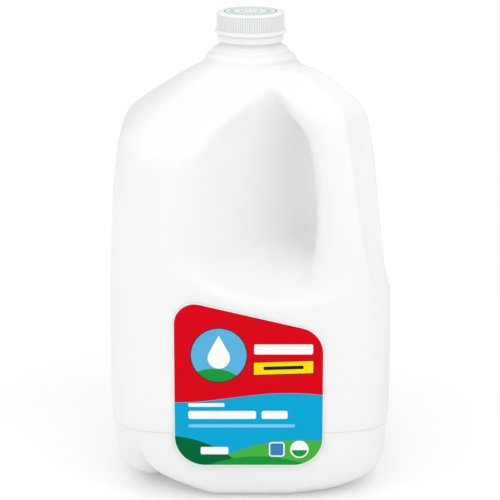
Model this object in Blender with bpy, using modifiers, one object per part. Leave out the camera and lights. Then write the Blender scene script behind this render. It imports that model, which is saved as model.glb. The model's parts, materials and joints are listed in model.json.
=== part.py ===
"""One-gallon blow-moulded milk jug with its screw cap and its front label.

The jug is symmetric about the mould's parting plane, which is the XZ plane: the handle's corner is at
+X, and the front face, which carries the label, looks along (1, -1, 0). The origin is on the neck's
axis, on the surface that the jug stands on. Sizes below are in millimetres; MM turns them into metres.
"""

import math

import bmesh
import bpy
from mathutils import Matrix, Vector

MM = 0.001

# Body
HALF_WIDTH = 76.6          # from the axis to a face of the square body
FOOT_HALF_WIDTH = 75.5     # the same below the mould line, where the base insert begins
MOULD_LINE_Z = 41.0
CORNER_RADIUS = 26.5       # of the upright corners
BASE_FILLET = 18.4         # from the faces into the foot
PUSH_UP = 8.0              # height of the middle of the base
GROOVE_TOP_Z = 42.0        # where the corner groove of the base channel fades out

# Shoulder
BREAK_Z = 203.8            # where the faces turn into the shoulder
BREAK_HALF_WIDTH = 65.5    # of the side and rear faces there
BREAK_FRONT_WIDTH = 57.0   # of the front face, which leans in further beside the handle
BREAK_RADIUS = 42.0
BREAK_SQUEEZE = 20.0       # degrees by which a corner's columns draw together from both sides there
COLLAR_RADIUS = 24.8
COLLAR_Z = 232.0

# Handle and finger hole
HOLE_BOTTOM_Z = 135.0
HOLE_TOP_Z = 203.0
ROOF_Z = 186.0             # where the recess starts to close towards its roof
LIP_Z = 114.5              # lower edge of the finger recess
WALL_X = 29.5              # recess wall behind the fingers, on the parting plane
WALL_DRAFT = 0.07          # how fast that wall turns away from square to the parting plane
HANDLE_DEPTH = 30.5        # of the handle, from its corner facet to the finger hole
SOFT_LEVELS = 1            # of subdivision

# Neck, hidden in the cap above NECK_SEAT_Z
NECK_RADIUS = 16.5
NECK_SEAT_Z = 241.0
NECK_TOP_Z = 255.0
NECK_STEPS = 48

# Cap
CAP_TOP_Z = 259.1
CAP_ROOT_RADIUS = 18.35    # between the ribs
CAP_RIB_RADIUS = 18.9
CAP_RIBS = 90
RIB_BOTTOM_Z = 249.1
RIB_TOP_Z = 257.7
FLANGE_RADIUS = 19.8
BAND_RADIUS = 18.2         # tamper band under the flange
BAND_BOTTOM_Z = 243.0
CAP_INSIDE_RADIUS = 17.1
CAP_INSIDE_Z = 256.6
CAP_STEPS = 60

# Label, measured on the front face from its middle line
LABEL_LEFT = -41.5
LABEL_RIGHT = 39.5
LABEL_BOTTOM = 22.5
LABEL_TOP_LEFT = 117.6
LABEL_TOP_RIGHT = 98.4
LABEL_RADII = (17.0, 16.0, 15.0, 11.5)   # lower left, lower right, upper right, upper left
LABEL_THICKNESS = 0.4
LABEL_GAP = 0.3

# Columns of the body's cage, counted from the handle's corner round the front to the rear corner
GRIP_WALL = 6              # handle's inner wall, on the parting plane beside the hole
BODY_WALL = 7              # body's wall, on the parting plane beside the hole
CREASE = 11                # where the recess meets the front face
GROOVE = 14                # left front corner
LAST = 21

# Where the columns cross the flat part of the front face, from -1 at the left corner to 1 at the right
FRONT_SHARES = {2: 1.0, 3: 0.86, 4: 0.73, 5: 0.61, 6: 0.42, 7: 0.2, 8: -0.04, 9: -0.3, 10: -0.56,
                11: -0.82, 12: -1.0}
COLLAR_ANGLES = (0, 9, 14, 19, 24, 28.5, 33, 38, 47, 56, 65, 72, 78, 84, 90, 96, 102, 110, 135, 160, 170, 180)


def through(stations, z):
    """A smooth curve through (z, value) stations, held level past its ends."""
    if z <= stations[0][0]:
        return stations[0][1]
    if z >= stations[-1][0]:
        return stations[-1][1]
    slopes = []
    for i in range(len(stations)):
        low, high = stations[max(i - 1, 0)], stations[min(i + 1, len(stations) - 1)]
        slopes.append((high[1] - low[1]) / (high[0] - low[0]))
    for i in range(len(stations) - 1):
        (z0, v0), (z1, v1) = stations[i], stations[i + 1]
        if z <= z1:
            span = z1 - z0
            t = (z - z0) / span
            return ((2 * t**3 - 3 * t**2 + 1) * v0 + (t**3 - 2 * t**2 + t) * span * slopes[i]
                    + (3 * t**2 - 2 * t**3) * v1 + (t**3 - t**2) * span * slopes[i + 1])


def half_width(z):
    """From the axis to the side and rear faces."""
    return through([(26, FOOT_HALF_WIDTH), (38, FOOT_HALF_WIDTH), (43, HALF_WIDTH), (108, HALF_WIDTH),
                    (135, 75.9), (163, 74.9), (185, 73.0), (195, 71.6), (BREAK_Z, BREAK_HALF_WIDTH)], z)


def front_width(z):
    """From the axis to the front face, and to the face that mirrors it on the handle's other side."""
    return through([(26, FOOT_HALF_WIDTH), (38, FOOT_HALF_WIDTH), (43, HALF_WIDTH), (112, HALF_WIDTH),
                    (122, 75.8), (135, 74.9), (150, 73.6), (164, 72.3), (176, 70.7), (186, 68.6),
                    (195, 64.8), (BREAK_Z, BREAK_FRONT_WIDTH)], z)


def corner_radius(z):
    return through([(150, CORNER_RADIUS), (185, 29), (195, 34), (BREAK_Z, BREAK_RADIUS)], z)


def facet_x(z):
    """Distance from the axis to the flat facet on the handle's corner, along the parting plane."""
    return through([(116, 96.9), (123, 96.5), (130, 95.2), (137, 93.4), (146, 91.6), (164, 88.4), (187, 84.3),
                    (204, 81.2), (212, 79.0), (216, 76.5), (222, 69.0)], z)


def facet_half_width(z):
    return through([(116, 6.6), (130, 6.2), (146, 7.1), (164, 7.5), (187, 8.4), (204, 8.3), (215, 7.6),
                    (222, 6.1)], z)


def handle_face(z):
    """Distance from the axis to the handle's flat side, which continues the front face and leans in."""
    return (facet_x(z) + facet_half_width(z)) / math.sqrt(2)


def grip_edge(z):
    """How far across the front face the handle's rounded inner side reaches."""
    return through([(132, 33.0), (141, 34.6), (153, 35.8), (164, 35.3), (176, 34.0), (197, 31.5), (208, 27.0),
                    (222, 21.0)], z)


def hole_end(z):
    """How far the finger hole's sides close in on each other near its rounded ends."""
    return through([(130, 8.0), (HOLE_BOTTOM_Z, 5.5), (150, 0.5), (170, 0.0), (188, 0.6),
                    (HOLE_TOP_Z, 5.0)], z)


def wall_x(y):
    """The recess wall: nearly square to the parting plane, with the mould's draft."""
    return WALL_X - WALL_DRAFT * abs(y)


def from_face(across, depth):
    """From the front face's axes, across it and away from its viewer, to the part's X and Y."""
    return (across - depth) / math.sqrt(2), (across + depth) / math.sqrt(2)


def plain_point(column, w, r, front=None, squeeze=None):
    """One column's place on a square of half width w with corners of radius r, in the part's X and Y.

    The front face may be nearer the axis than the side and rear faces are. The columns of the left front
    corner draw together by so many degrees of its arc from both sides.
    """
    c = w - r
    front = front or w
    near = front - r

    def arc(across, depth, degrees):
        turn = math.radians(degrees)
        return from_face(across + r * math.sin(turn), depth - r * math.cos(turn))

    if column == 0:
        return arc(near, -near, 45)
    if column == 1:
        return arc(near, -near, 29)
    if column in FRONT_SHARES:
        share = FRONT_SHARES[column]
        return from_face(share * (near if share > 0 else c), -front)
    if column <= 16:
        if squeeze is None:
            squeeze = BREAK_SQUEEZE * max(0.0, r - CORNER_RADIUS) / (BREAK_RADIUS - CORNER_RADIUS)
        return arc(-c, -near, -squeeze - (90 - 2 * squeeze) * (column - 12) / 4)
    if column == 17:
        return from_face(-w, -near * 0.82)
    if column == 18:
        return from_face(-w, 0)
    if column == 19:
        return from_face(-w, c)
    return arc(-c, c, -90 - 22.5 * (column - 19))


def handle_point(column, z):
    """One column's place on the section through the handle, the finger recess and the body's wall."""
    face, grip = handle_face(z), grip_edge(z)
    edge = face - facet_half_width(z) * math.sqrt(2)
    if column == 0:
        return facet_x(z), 0.0
    if column == 1:
        return facet_x(z), -facet_half_width(z)
    if column == 2:
        return from_face(edge - 7.0, -face - 0.8)
    if column == 3:
        return from_face(edge - 14.5, -face - 0.6)
    if column == 4:
        return from_face(grip + 0.5, -face + 5.0)
    if column == 5:
        return from_face(grip - 0.3, -face + 16.5)
    if column == GRIP_WALL:
        return facet_x(z) - HANDLE_DEPTH - hole_end(z), 0.0
    if column == BODY_WALL:
        return WALL_X + hole_end(z), 0.0
    front = front_width(z)
    crease = (WALL_X * math.sqrt(2) - front * (1 + WALL_DRAFT)) / (1 - WALL_DRAFT) - 2.5
    if column < CREASE:
        y = {8: -25.0, 9: -46.0, 10: -64.0}[column]
        return wall_x(y) + {8: 0.0, 9: 0.3, 10: 2.0}[column], y
    if column == CREASE:
        return from_face(crease, -front)
    return plain_point(column, half_width(z), corner_radius(z), front)


def mixed(a, b, share):
    return tuple(p + (q - p) * share for p, q in zip(a, b))


def base_rows():
    """The underside from its middle outwards, then the fillet up to the faces, with the base channel."""
    rows = []
    for w, r, z in ((14.0, 9.0, 6.5), (34.0, 22.0, 0.9), (43.0, 27.0, 0.0), (48.5, 29.5, 0.0),
                    (54.0, 32.0, 0.0), (60.5, 35.5, 0.0)):
        rows.append([(*plain_point(j, w, r, squeeze=27.0), z) for j in range(LAST + 1)])
    for degrees, r, squeeze in ((25.0, 44.0, 32.0), (48.0, 46.0, 33.0), (70.0, 38.5, 31.0)):
        turn = math.radians(degrees)
        w = FOOT_HALF_WIDTH - BASE_FILLET * (1 - math.sin(turn))
        z = BASE_FILLET * (1 - math.cos(turn))
        rows.append([(*plain_point(j, w, r, squeeze=squeeze), z) for j in range(LAST + 1)])
    for z, r, squeeze in ((26.0, 30.0, 18.0), (38.0, 27.5, 7.0), (43.0, CORNER_RADIUS, 0.0),
                          (72.0, CORNER_RADIUS, 0.0), (99.0, CORNER_RADIUS, 0.0)):
        rows.append([(*plain_point(j, half_width(z), r, squeeze=squeeze), z) for j in range(LAST + 1)])
    # The groove's bottom, from under the base out and up the left front corner, and how much of it the
    # columns beside it take, on the front face's side and on the side face's side.
    valley = ((16, 7.5), (36, 7.5), (45, 8.0), (50, 8.3), (54.5, 8.6), (59, 9.0), (66, 10.4), (73, 13.4),
              (81, 20.0), (88, 29.0), (94.5, 37.5), (96.6, GROOVE_TOP_Z + 3))
    beside = {-2: (0.7, 0.4, 0.1, 0.0, 0.0, 0.0, 0.0, 0.0, 0.0, 0.0, 0.0, 0.0),
              -1: (0.9, 0.9, 0.75, 0.6, 0.48, 0.44, 0.44, 0.46, 0.46, 0.4, 0.18, 0.0),
              1: (0.9, 0.9, 0.9, 0.88, 0.84, 0.8, 0.74, 0.68, 0.6, 0.48, 0.2, 0.0),
              2: (0.7, 0.5, 0.3, 0.22, 0.18, 0.17, 0.16, 0.14, 0.08, 0.03, 0.0, 0.0)}
    for i, (reach, z) in enumerate(valley):
        rows[i][GROOVE] = (0.0, -reach, z)
        for step, shares in beside.items():
            x, y, own_z = rows[i][GROOVE + step]
            rows[i][GROOVE + step] = mixed((x, y, own_z), (x, -reach + abs(x) * 0.1, z), shares[i])
    return rows


def grip_rows():
    """The rows through the handle: lip and floor of the recess, the hole's height, its roof, the shoulder."""
    lip_rise = (0, 0, 0, 0, 0, 0, 0, 0, 1.5, 5, 10, 15.5, 12, 9, 6, 4, 2, 1, 0, 0, 0, 0)
    # Under the hole the recess has a hollow floor, given across and away from the front face's viewer.
    floor = {5: (29.5, -57.5), GRIP_WALL: (25.5, -48.5), BODY_WALL: (17.0, -41.0)}
    rows = []
    # Height of each row at the handle, the share of the lip's rise that it takes, and how far in it lies.
    for z, rise, inward in ((108.5, 0.55, 0.0), (LIP_Z, 1.0, 0.0), (118.0, 1.0, 0.3), (122.5, 0.95, 0.6),
                            (128.5, 0.8, 0.86), (HOLE_BOTTOM_Z, 0.5, 1.0), (150.0, 0.15, 1.0),
                            (168.0, 0.0, 1.0), (ROOF_Z, 0.0, 1.0)):
        row = []
        for j in range(LAST + 1):
            own_z = z + lip_rise[j] * rise
            plain = plain_point(j, half_width(own_z), corner_radius(own_z), front_width(own_z))
            grip = handle_point(j, own_z)
            if z < HOLE_BOTTOM_Z and j in floor:
                grip = from_face(*floor[j])
            share = inward
            if j < 3:
                share = min(1.0, max(0.0, (own_z - LIP_Z) / 12.0))
            elif j > BODY_WALL:
                share = inward ** 1.25 if z <= HOLE_BOTTOM_Z - 1 else (0.94 if z == HOLE_BOTTOM_Z else 1.0)
            row.append((*mixed(plain, grip, share), own_z))
        rows.append(row)
    # From the hole's top to the break of the shoulder, which rises along the recess to the handle's arm.
    break_z = (221.5, 221.5, 221.5, 221.5, 222, 223.2, 223.5, 223, 219, 211.5, 205, 201, 201.5, 202.5)
    break_z += (BREAK_Z,) * 8
    # The arm's sides fall away from the facet on its top.
    droop = {2: 1.6, 3: 4.0, 4: 2.6, 5: 1.2}
    # Places along the recess's upper rim, and how far each row has reached them: sooner beside the handle.
    rim = {5: (45.3, -20.5), 6: (40.0, -21.6), 7: (35.0, -23.0), 8: (31.6, -29.0), 9: (30.6, -42.5),
           10: (27.6, -55.0), CREASE: (20.8, -64.4)}
    for share, soft_share, to_rim, to_arm_rim in ((0.4, 0.36, 0.0, 0.0), (0.58, 0.52, 0.3, 0.5),
                                                  (0.77, 0.72, 0.66, 0.8), (1.0, 1.0, 1.0, 1.0)):
        row = []
        for j in range(LAST + 1):
            own_z = ROOF_Z + (break_z[j] - ROOF_Z) * (soft_share if BODY_WALL < j < CREASE else share)
            x, y = handle_point(j, own_z)
            if j in rim:
                x, y = mixed((x, y), rim[j], to_rim if j > BODY_WALL else to_arm_rim)
            row.append((x, y, own_z - droop.get(j, 0.0) * to_rim))
        rows.append(row)
    return rows


def shoulder_rows(break_row):
    """From the break up to the collar, nearly straight on the body and bulging on the handle's arm."""
    bulge = (3.7, 3.7, 4.1, 4.1, 2.6, 1.0, 0.3, 0.0, 0.0, 0.0, 0.0, 0.0, 0.4) + (1.0,) * 9
    collar = []
    for degrees in COLLAR_ANGLES:
        turn = math.radians(degrees)
        collar.append((COLLAR_RADIUS * math.cos(turn), -COLLAR_RADIUS * math.sin(turn), COLLAR_Z))
    rows = []
    for share, swell in ((0.3, 0.75), (0.65, 1.15), (1.0, 0.0)):
        row = []
        for j, (low, high) in enumerate(zip(break_row, collar)):
            x, y, z = mixed(low, high, share)
            row.append((x, y, z + bulge[j] * swell))
        rows.append(row)
    rows.append([(x * 0.75, y * 0.75, z) for x, y, z in collar])
    return rows


def add_material(obj, name, colour, roughness, metallic=0.0):
    material = bpy.data.materials.new(name)
    material.use_nodes = True
    shader = material.node_tree.nodes["Principled BSDF"]
    shader.inputs["Base Color"].default_value = (*colour, 1.0)
    shader.inputs["Roughness"].default_value = roughness
    shader.inputs["Metallic"].default_value = metallic
    obj.data.materials.append(material)


def add_object(name, mesh, collection):
    obj = bpy.data.objects.new(name, mesh)
    collection.objects.link(obj)
    return obj


def make_cutter(obj):
    obj.hide_render = True
    obj.display_type = "WIRE"


def turned(name, profile, steps, collection):
    """A solid of revolution from an outline that runs down its outer side from axis to axis."""
    mesh = bpy.data.meshes.new(name)
    points = [(r * MM, 0.0, z * MM) for r, z in profile]
    mesh.from_pydata(points, [(i, i + 1) for i in range(len(points) - 1)], [])
    obj = add_object(name, mesh, collection)
    screw = obj.modifiers.new("Turn", "SCREW")
    screw.steps = screw.render_steps = steps
    screw.use_merge_vertices = True
    screw.merge_threshold = 0.00001
    return obj


def body_cage():
    """The half of the jug on the label's side, open along the parting plane and round the finger hole."""
    rows = base_rows() + grip_rows()
    rows += shoulder_rows(rows[-1])
    bm = bmesh.new()
    grid = [[bm.verts.new(Vector(point) * MM) for point in row] for row in rows]
    hole_rows = [i for i, row in enumerate(rows) if row[BODY_WALL][1] == 0.0 and row[GRIP_WALL][1] == 0.0]
    for i in range(len(grid) - 1):
        for j in range(LAST):
            beside_hole = j == GRIP_WALL and i in hole_rows and i + 1 in hole_rows
            if not beside_hole:
                bm.faces.new((grid[i][j], grid[i][j + 1], grid[i + 1][j + 1], grid[i + 1][j]))
    for ring, z in ((grid[0], PUSH_UP), (grid[-1], COLLAR_Z)):
        middle = bm.verts.new(Vector((0, 0, z)) * MM)
        for a, b in zip(ring, ring[1:]):
            bm.faces.new((a, b, middle))
    for ring in grid:
        ring[0].co.y = ring[LAST].co.y = 0.0
    # The facet on the handle's corner has crisp edges, which fade out where it meets the body.
    crease = bm.edges.layers.float.new("crease_edge")
    first = len(base_rows())
    for i in range(first, len(grid) - 3):
        edge = bm.edges.get((grid[i][1], grid[i + 1][1]))
        edge[crease] = min(0.85, 0.3 * (i - first))
    bmesh.ops.recalc_face_normals(bm, faces=bm.faces)
    mesh = bpy.data.meshes.new("jug_body")
    bm.to_mesh(mesh)
    bm.free()
    return mesh


def make_jug_body(parts, cutters):
    body = add_object("jug_body", body_cage(), parts)
    mirror = body.modifiers.new("Other half", "MIRROR")
    mirror.use_axis = (False, True, False)
    mirror.merge_threshold = 0.0001
    smooth = body.modifiers.new("Soft form", "SUBSURF")
    smooth.levels = smooth.render_levels = SOFT_LEVELS
    neck = turned("neck_stock", [
        (0, NECK_TOP_Z), (NECK_RADIUS - 1, NECK_TOP_Z), (NECK_RADIUS, NECK_TOP_Z - 1), (NECK_RADIUS, 242.2),
        (17.0, NECK_SEAT_Z), (20.7, 238.7), (21.3, 237.9), (21.4, 236.9), (23.9, 235.4), (24.8, 234.5),
        (25.0, 233.6), (25.4, 232.2), (26.6, 231.0), (29.5, 228.0), (22.0, 225.0), (0, 225.0)],
        NECK_STEPS, cutters)
    make_cutter(neck)
    join = body.modifiers.new("Neck", "BOOLEAN")
    join.operation = "UNION"
    join.object = neck
    add_material(body, "opaque white polyethylene", (0.87, 0.87, 0.87), 0.42)
    return body


def make_cap(parts, cutters):
    cap = turned("cap", [
        (0, CAP_TOP_Z), (16.6, CAP_TOP_Z), (17.9, CAP_TOP_Z - 0.35), (18.6, RIB_TOP_Z + 0.3),
        (CAP_ROOT_RADIUS, RIB_TOP_Z - 0.3), (CAP_ROOT_RADIUS, RIB_BOTTOM_Z + 0.1),
        (FLANGE_RADIUS, 248.6), (FLANGE_RADIUS, 247.4), (18.3, 247.1), (17.8, 246.9), (17.8, 246.6),
        (BAND_RADIUS, 246.4), (BAND_RADIUS, BAND_BOTTOM_Z + 0.3),
        (BAND_RADIUS - 0.3, BAND_BOTTOM_Z), (CAP_INSIDE_RADIUS, BAND_BOTTOM_Z),
        (CAP_INSIDE_RADIUS, CAP_INSIDE_Z), (0, CAP_INSIDE_Z)], CAP_STEPS, parts)
    bm = bmesh.new()
    outline = []
    foot_z = RIB_BOTTOM_Z - 0.4
    for i in range(2 * CAP_RIBS):
        turn = math.pi * i / CAP_RIBS
        radius = CAP_RIB_RADIUS if i % 2 else CAP_ROOT_RADIUS - 0.1
        point = Vector((radius * math.cos(turn), radius * math.sin(turn), foot_z))
        outline.append(bm.verts.new(point * MM))
    lower = bm.faces.new(outline)
    upper = bmesh.ops.extrude_face_region(bm, geom=[lower])["geom"]
    lift = Vector((0, 0, (RIB_TOP_Z - foot_z) * MM))
    bmesh.ops.translate(bm, verts=[v for v in upper if isinstance(v, bmesh.types.BMVert)], vec=lift)
    bmesh.ops.recalc_face_normals(bm, faces=bm.faces)
    mesh = bpy.data.meshes.new("cap_ribs")
    bm.to_mesh(mesh)
    bm.free()
    ribs = add_object("cap_ribs", mesh, cutters)
    make_cutter(ribs)
    below = BAND_BOTTOM_Z - 3
    inside = turned("cap_inside", [
        (0, CAP_INSIDE_Z), (CAP_INSIDE_RADIUS, CAP_INSIDE_Z), (CAP_INSIDE_RADIUS, below), (0, below)],
        CAP_STEPS, cutters)
    make_cutter(inside)
    for name, operation, other in (("Ribs", "UNION", ribs), ("Hollow", "DIFFERENCE", inside)):
        step = cap.modifiers.new(name, "BOOLEAN")
        step.operation = operation
        step.object = other
    add_material(cap, "white polypropylene", (0.86, 0.87, 0.87), 0.35)
    return cap


def label_outline():
    """The label's rounded four-sided outline with its slanted top, on the front face."""
    corners = ((LABEL_LEFT, LABEL_BOTTOM), (LABEL_RIGHT, LABEL_BOTTOM), (LABEL_RIGHT, LABEL_TOP_RIGHT),
               (LABEL_LEFT, LABEL_TOP_LEFT))
    points = []
    for i, radius in enumerate(LABEL_RADII):
        here = Vector(corners[i])
        back = (Vector(corners[i - 1]) - here).normalized()
        ahead = (Vector(corners[(i + 1) % 4]) - here).normalized()
        half = back.angle(ahead) / 2
        centre = here + (back + ahead).normalized() * radius / math.sin(half)
        start = here + back * radius / math.tan(half) - centre
        sweep = math.pi - 2 * half
        for k in range(9):
            turn = sweep * k / 8
            points.append(centre + Matrix.Rotation(turn, 2) @ start)
    return points


def make_label(parts):
    curve = bpy.data.curves.new("front_label", "CURVE")
    curve.dimensions = "2D"
    curve.fill_mode = "BOTH"
    curve.extrude = LABEL_THICKNESS / 2 * MM
    outline = label_outline()
    spline = curve.splines.new("POLY")
    spline.points.add(len(outline) - 1)
    for point, place in zip(spline.points, outline):
        point.co = (place.x * MM, place.y * MM, 0, 1)
    spline.use_cyclic_u = True
    label = add_object("front_label", curve, parts)
    outward = (HALF_WIDTH + LABEL_GAP + LABEL_THICKNESS / 2) * MM
    across, up, out = Vector((1, 1, 0)).normalized(), Vector((0, 0, 1)), Vector((1, -1, 0)).normalized()
    turn = Matrix((across, up, out)).transposed()
    label.matrix_world = Matrix.Translation(out * outward) @ turn.to_4x4()
    add_material(label, "printed film", (0.62, 0.03, 0.06), 0.35)
    return label


def main():
    for obj in list(bpy.data.objects):
        bpy.data.objects.remove(obj, do_unlink=True)
    parts = bpy.data.collections.new("milk_jug")
    cutters = bpy.data.collections.new("cutters")
    bpy.context.scene.collection.children.link(parts)
    bpy.context.scene.collection.children.link(cutters)
    make_jug_body(parts, cutters)
    make_cap(parts, cutters)
    make_label(parts)


main()
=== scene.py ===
# %% [markdown]
# # A one-gallon milk jug
#
# This notebook dresses the solid model of a white plastic milk jug until it looks like the real thing. The
# solid model gives the place and the size of everything, so the first cell loads it. Every
# later cell builds one piece or one finish, in metres, with +Z up and the handle's corner towards +X.

# %% Load the solid model
import json
import math

import bmesh
import bpy
from mathutils import Matrix, Vector

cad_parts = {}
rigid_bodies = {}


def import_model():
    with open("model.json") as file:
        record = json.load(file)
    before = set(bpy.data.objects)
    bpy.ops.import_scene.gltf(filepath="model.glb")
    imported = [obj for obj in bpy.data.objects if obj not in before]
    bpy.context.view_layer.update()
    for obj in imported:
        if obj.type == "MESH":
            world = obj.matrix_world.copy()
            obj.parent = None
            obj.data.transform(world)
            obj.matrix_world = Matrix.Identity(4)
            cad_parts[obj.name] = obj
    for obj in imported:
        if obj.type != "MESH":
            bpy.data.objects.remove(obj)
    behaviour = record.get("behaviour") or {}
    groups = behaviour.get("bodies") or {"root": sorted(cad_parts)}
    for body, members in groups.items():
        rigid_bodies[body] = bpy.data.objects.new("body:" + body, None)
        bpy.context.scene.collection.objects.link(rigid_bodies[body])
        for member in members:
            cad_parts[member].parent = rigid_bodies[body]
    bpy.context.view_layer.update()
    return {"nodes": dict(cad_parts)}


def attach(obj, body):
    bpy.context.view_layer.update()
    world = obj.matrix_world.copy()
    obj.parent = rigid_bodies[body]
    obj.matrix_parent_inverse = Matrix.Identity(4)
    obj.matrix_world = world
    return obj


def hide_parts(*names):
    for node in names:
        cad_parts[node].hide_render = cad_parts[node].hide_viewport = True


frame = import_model()
MM = 0.001
scene = bpy.context.scene
print("nodes:", sorted(frame["nodes"]))

# %% [markdown]
# ## The camera
#
# A product photograph like this one is taken from a little over a metre away with a long lens, so the
# upright edges stay nearly parallel. The camera looks straight at the label's face and 15 degrees down.
# A camera object points along its own -Z axis, so its rotation is built from the direction of view.

# %% Place the camera
VIEW_SIDE = Vector((1.0, -1.0, 0.0)).normalized()      # the label's face looks this way
VIEW_ACROSS = Vector((1.0, 1.0, 0.0)).normalized()     # and this is to the right in the picture
CAMERA_DISTANCE = 1.2
CAMERA_HEIGHT = 0.449
CAMERA_PITCH = math.radians(15.2)
FOCAL_PIXELS = 2201.0
PICTURE_PIXELS = 500.0


def add_object(name, data):
    """Puts an object that shows the data into the scene."""
    obj = bpy.data.objects.new(name, data)
    scene.collection.objects.link(obj)
    return obj


camera_data = bpy.data.cameras.new("camera")
camera_data.sensor_width = 36.0
camera_data.lens = camera_data.sensor_width * FOCAL_PIXELS / PICTURE_PIXELS
camera_data.shift_x = -0.5 / PICTURE_PIXELS            # the jug's axis is half a pixel right of the middle
camera_data.dof.use_dof = False
camera = add_object("camera", camera_data)
camera.location = VIEW_SIDE * CAMERA_DISTANCE + Vector((0, 0, CAMERA_HEIGHT))
gaze = -VIEW_SIDE * math.cos(CAMERA_PITCH) - Vector((0, 0, math.sin(CAMERA_PITCH)))
camera.rotation_euler = gaze.to_track_quat("-Z", "Y").to_euler()
scene.camera = camera
print("lens:", round(camera_data.lens, 1), "mm")

# %% [markdown]
# ## The studio
#
# White plastic on a white ground only reads as a form if its sides, its front and its top get different
# amounts of light. So soft lights stand at the left, at the right front, above the jug on both sides and
# behind it, with a fill in front, and the room itself is brighter overhead. Large lights are used because a
# small one would throw hard shadows. The floor is a light table: it glows a little, as a white product
# ground does, and more with distance from the jug, so that the ground stays white while little light comes
# up from under the jug. It is staging.

# %% Colours as they are, and helpers that add nodes
scene.view_settings.view_transform = "Standard"
scene.view_settings.look = "None"


def plug(node, values):
    """Fills a node's inputs, given by name or number, with plain values or with links from sockets."""
    for name, value in values.items():
        if isinstance(value, bpy.types.NodeSocket):
            node.id_data.links.new(value, node.inputs[name])
        else:
            node.inputs[name].default_value = value


def add_node(tree, kind, values=None, **settings):
    """Adds a node to a tree, makes its settings and fills its inputs."""
    node = tree.nodes.new(kind)
    for name, setting in settings.items():
        setattr(node, name, setting)
    plug(node, values or {})
    return node


print("view:", scene.view_settings.view_transform)

# %% The room and the floor
# The room's light: even all round, with more of it from overhead.
ROOM_LIGHT = 0.43
CEILING_LIGHT = 0.36
CEILING_EDGE = 0.7             # how far up the ceiling's light is full, as the sine of the angle
GLOW_STARTS = 0.2              # metres from the jug's axis where the floor's glow begins to grow
GLOW_FULL = 1.6                # and where it has grown to its full strength


def room_light():
    """A world whose light depends on how far up a direction points."""
    world = bpy.data.worlds.new("studio")
    world.use_nodes = True
    tree = world.node_tree
    direction = add_node(tree, "ShaderNodeTexCoord").outputs["Generated"]
    upward = add_node(tree, "ShaderNodeSeparateXYZ", {0: direction}).outputs["Z"]
    brightness = add_node(tree, "ShaderNodeMapRange", {
        "Value": upward, "From Max": CEILING_EDGE, "To Min": ROOM_LIGHT,
        "To Max": ROOM_LIGHT + CEILING_LIGHT})
    plug(tree.nodes["Background"], {"Color": (1.0, 1.0, 1.0, 1.0), "Strength": brightness.outputs["Result"]})
    return world


def light_table(name, reach, paint, near_glow, far_glow):
    """The studio's floor: white paint that also glows, less beside the jug than far from it; staging."""
    mesh = bpy.data.meshes.new(name)
    mesh.from_pydata([(-reach, -reach, 0), (reach, -reach, 0), (reach, reach, 0), (-reach, reach, 0)], [],
                     [(0, 1, 2, 3)])
    material = bpy.data.materials.new(name)
    material.use_nodes = True
    tree = material.node_tree
    place = add_node(tree, "ShaderNodeTexCoord").outputs["Object"]
    away = add_node(tree, "ShaderNodeVectorMath", {0: place}, operation="LENGTH").outputs["Value"]
    glow = add_node(tree, "ShaderNodeMapRange", {
        "Value": away, "From Min": GLOW_STARTS, "From Max": GLOW_FULL, "To Min": near_glow,
        "To Max": far_glow}, interpolation_type="SMOOTHSTEP").outputs["Result"]
    plug(tree.nodes["Principled BSDF"], {
        "Base Color": (paint, paint, paint, 1.0), "Roughness": 0.9, "Specular IOR Level": 0.0,
        "Emission Color": (1.0, 1.0, 1.0, 1.0), "Emission Strength": glow})
    mesh.materials.append(material)
    piece = add_object(name, mesh)


scene.world = room_light()
light_table("floor", reach=9.0, paint=0.86, near_glow=0.14, far_glow=0.26)
print("room light:", ROOM_LIGHT, "to", round(ROOM_LIGHT + CEILING_LIGHT, 2))

# %% Lights
JUG_MIDDLE = Vector((0, 0, 0.13))


def soft_light(name, side_degrees, height_degrees, distance, width, height, power):
    """A large area light aimed at the jug's middle; the side is counted from the camera, left is minus."""
    data = bpy.data.lights.new(name, "AREA")
    data.shape = "RECTANGLE"
    data.size = width
    data.size_y = height
    data.energy = power
    light = add_object(name, data)
    side, up = math.radians(side_degrees), math.radians(height_degrees)
    flat = VIEW_SIDE * math.cos(side) + VIEW_ACROSS * math.sin(side)
    direction = flat * math.cos(up) + Vector((0, 0, math.sin(up)))
    light.location = JUG_MIDDLE + direction * distance
    light.rotation_euler = (-direction).to_track_quat("-Z", "Y").to_euler()


# Each light's name, side and height in degrees, distance, width and height in metres, and power in watts.
LIGHTS = (
    ("left_softbox", -90, 15, 1.5, 1.0, 1.3, 2.1),
    ("right_front_softbox", 30, 15, 1.5, 0.9, 1.2, 0.9),
    ("upper_left_softbox", -50, 55, 1.8, 1.0, 1.0, 2.7),
    ("upper_right_softbox", 50, 55, 1.8, 1.0, 1.0, 4.2),
    ("overhead_softbox", 0, 80, 1.8, 2.0, 2.0, 2.0),
    ("rear_overhead_softbox", 180, 55, 2.2, 2.5, 1.5, 4.2),
    ("front_fill", 0, 30, 2.2, 1.6, 1.2, 5.7),
)
for values in LIGHTS:
    soft_light(*values)
print("lights:", [values[0] for values in LIGHTS])

# %% [markdown]
# ## Tools for materials
#
# Printed shapes and moulding marks are easiest to draw as distances: a Math node works out how far a point
# lies outside a disc, a bar or a line, and a narrow step turns that distance into a mask. The same few
# helpers serve every material here, so they come first. A material made from nodes stays sharp at any
# size, where a picture would not.


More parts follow.
